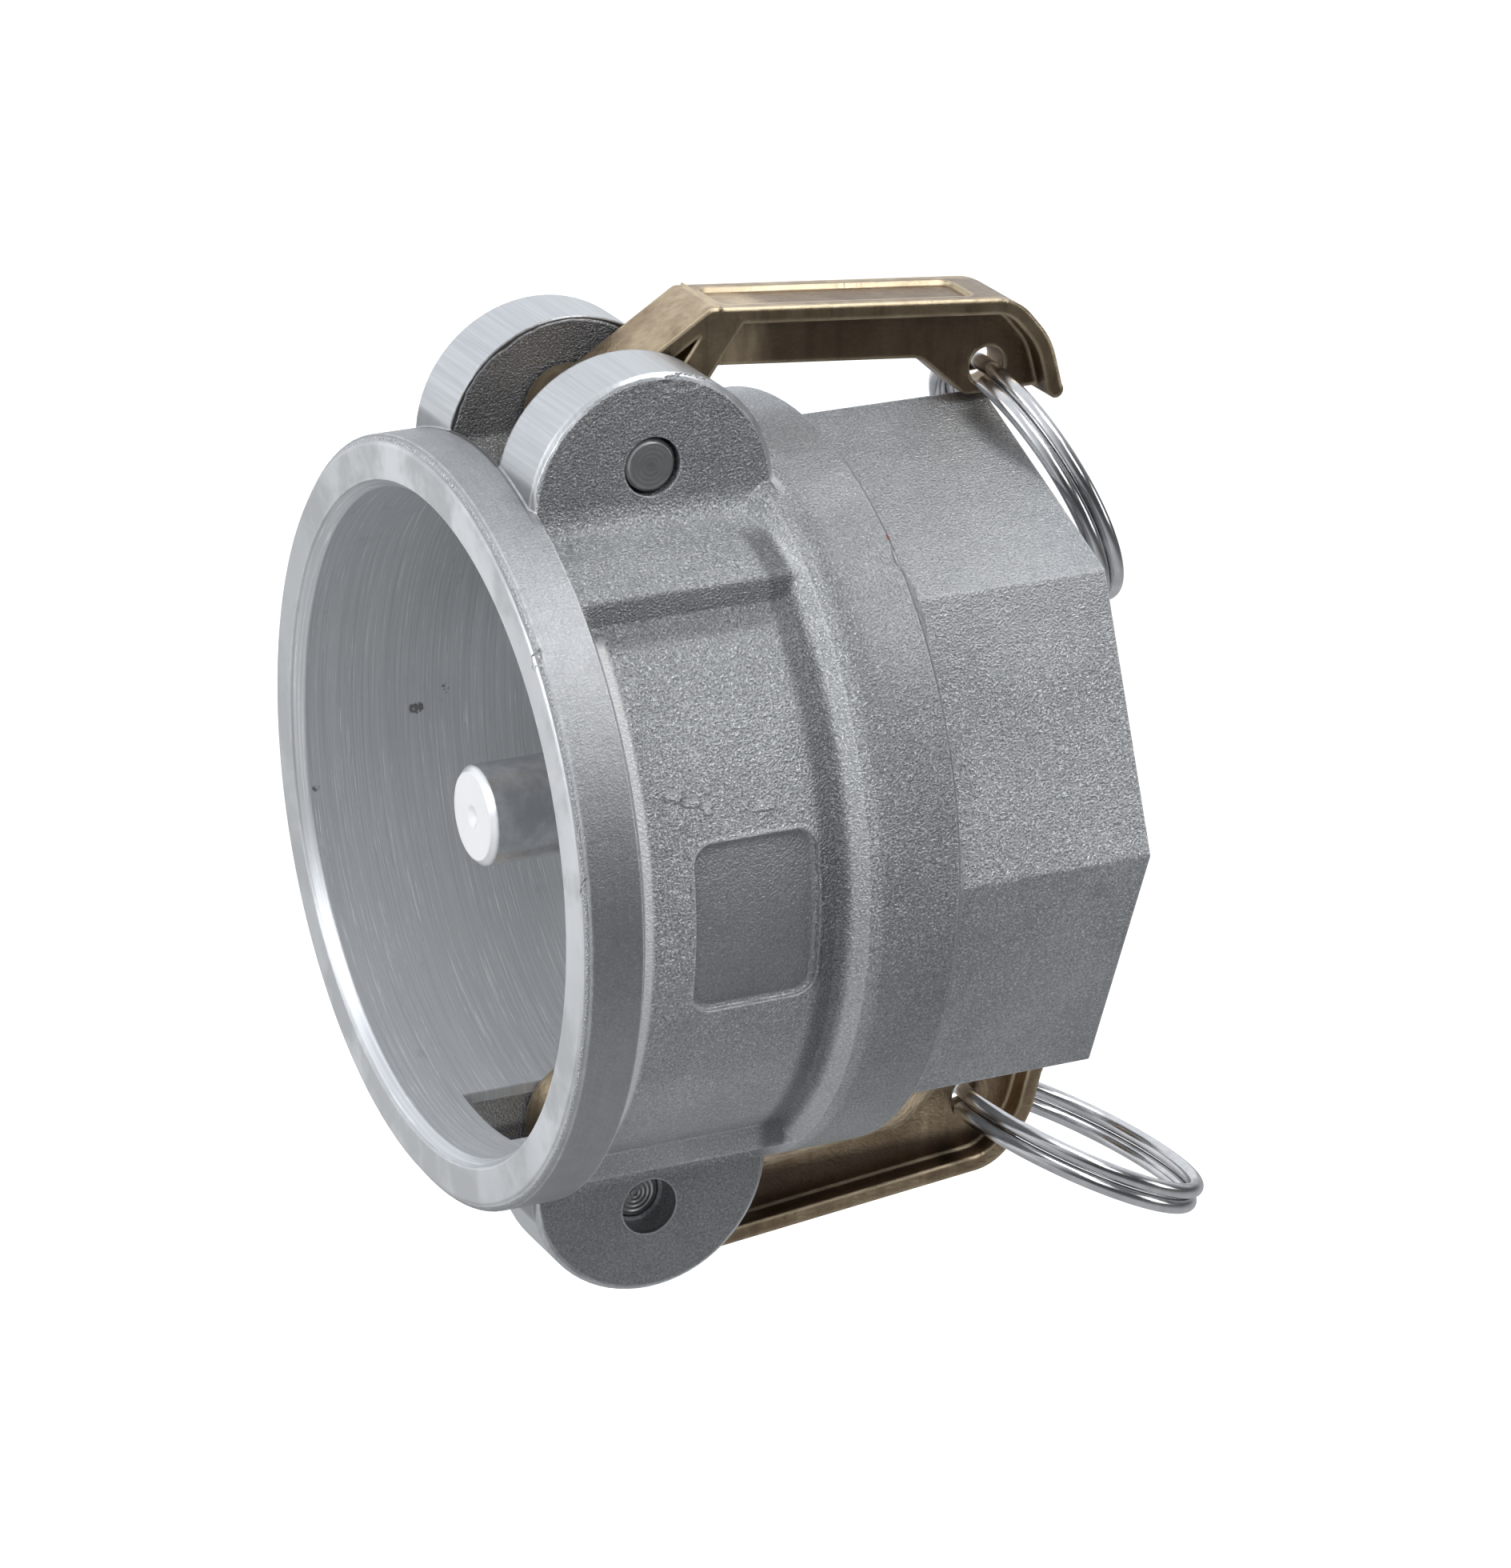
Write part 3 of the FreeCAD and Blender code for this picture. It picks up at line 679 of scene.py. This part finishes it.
def octagon_fillet():
    """Cast fillet between the band's rear wall and the eight flats."""
    flat = OCTAGON_RADIUS * math.cos(math.pi / OCTAGON_SIDES)
    tallest, sunk = 1.9, 0.15
    per_side, arc = 40, 4
    count = OCTAGON_SIDES * per_side
    back, front = BAND_END - sunk, BAND_END
    vertices, faces = [], []
    for index in range(count):
        angle = 2 * math.pi * index / count
        off_centre = (index % per_side - per_side / 2) / per_side * 2 * math.pi / OCTAGON_SIDES
        surface = flat / math.cos(off_centre)
        size = min(tallest, BAND_EDGE_RADIUS - surface)
        outline = [(back, surface - sunk), (front + size, surface - sunk)]
        for step in range(arc + 1):
            turn = math.pi / 2 * step / arc
            outline.append((front + size * (1 - math.sin(turn)), surface + size * (1 - math.cos(turn))))
        outline.append((back, surface + size))
        for along, radius in outline:
            vertices.append(round_axis(along, radius, angle))
    rows = arc + 4
    for index in range(count):
        here, there = index * rows, (index + 1) % count * rows
        for edge in range(rows):
            after = (edge + 1) % rows
            faces.append((here + edge, here + after, there + after, there + edge))
    return mesh_piece("octagon_root_fillet", vertices, faces, body_material)


for piece in (pipe_thread(), octagon_fillet()):
    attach(piece, "body")


# Studio, in metres

LIGHT_TARGET = (0.02, 0.0, 0.0)
# Name, place, side of the square and power in watts
LIGHTS = (
    ("key_above", (0.34, -0.30, 0.72), 0.38, 2.5),
    ("mouth_fill", (-0.76, -0.08, 0.42), 0.35, 1.7),
    ("right_fill", (0.42, -0.76, 0.54), 0.35, 1.4),
    ("side_fill", (0.92, -0.32, 0.06), 0.35, 0.9),
)
# The lower ring reaches 155 mm below the axis when its handle is swung open
FLOOR_HEIGHT = -0.183
FLOOR_HALF = 6.0


def area_light(name, place, side, power):
    lamp = bpy.data.lights.new(name, "AREA")
    lamp.shape = "SQUARE"
    lamp.size = side
    lamp.energy = power
    holder = bpy.data.objects.new(name, lamp)
    bpy.context.scene.collection.objects.link(holder)
    holder.location = place
    direction = Vector(LIGHT_TARGET) - Vector(place)
    holder.rotation_euler = direction.to_track_quat("-Z", "Y").to_euler()


for light in LIGHTS:
    area_light(*light)

corners = ((-1, -1), (1, -1), (1, 1), (-1, 1))
floor = mesh_piece(
    "studio_floor",
    [(x * FLOOR_HALF, y * FLOOR_HALF, FLOOR_HEIGHT) for x, y in corners],
    [(0, 1, 2, 3)], pale_floor(), smooth=False,
)


def studio_world():
    """White for the camera, and a soft gradient as light and in reflections."""
    world = bpy.data.worlds.new("studio")
    bpy.context.scene.world = world
    s = Shader(world, "Generated")
    towards_light = s.vector("DOT_PRODUCT", s.place, (-0.45, 0.70, 0.55))
    around = s.background((0.93, 0.96, 1.0), s.step(towards_light, -0.50, 0.45, 0.07, 1.05))
    choice = s.nodes.new("ShaderNodeMixShader")
    s.feed(choice.inputs[0], s.nodes.new("ShaderNodeLightPath").outputs["Is Camera Ray"])
    s.feed(choice.inputs[1], around)
    s.feed(choice.inputs[2], s.background(WHITE, 1.0))
    out = s.nodes.new("ShaderNodeOutputWorld")
    s.links.new(choice.outputs[0], out.inputs[0])


studio_world()


# Camera, placed where the photograph was taken. Angles are in degrees, and the
# camera is moved to the right and down in its own plane.

CAMERA_AZIMUTH = -26.314
CAMERA_ELEVATION = 21.598
CAMERA_ROLL = 0.622
CAMERA_TARGET = Vector((station(45.0), 0.0, 0.0))
CAMERA_DISTANCE = 0.860214
CAMERA_RIGHT = 0.004985
CAMERA_DOWN = 0.001311
CAMERA_LENS = 142.17
CAMERA_SENSOR = 36.0


def photo_camera():
    azimuth, elevation = math.radians(CAMERA_AZIMUTH), math.radians(CAMERA_ELEVATION)
    roll = math.radians(CAMERA_ROLL)
    back = Vector((
        math.sin(azimuth) * math.cos(elevation),
        -math.cos(azimuth) * math.cos(elevation),
        math.sin(elevation),
    ))
    level = Vector((math.cos(azimuth), math.sin(azimuth), 0.0))
    upright = back.cross(level)
    right = level * math.cos(roll) + upright * math.sin(roll)
    up = upright * math.cos(roll) - level * math.sin(roll)
    eye = CAMERA_TARGET + back * CAMERA_DISTANCE + right * CAMERA_RIGHT - up * CAMERA_DOWN
    optics = bpy.data.cameras.new("photo_camera")
    optics.lens = CAMERA_LENS
    optics.sensor_width = CAMERA_SENSOR
    optics.clip_start = 0.01
    optics.clip_end = 50.0
    camera = bpy.data.objects.new("photo_camera", optics)
    bpy.context.scene.collection.objects.link(camera)
    camera.matrix_world = Matrix((
        (right.x, up.x, back.x, eye.x),
        (right.y, up.y, back.y, eye.y),
        (right.z, up.z, back.z, eye.z),
        (0.0, 0.0, 0.0, 1.0),
    ))
    bpy.context.scene.camera = camera


photo_camera()
bpy.context.scene.view_settings.view_transform = "Standard"
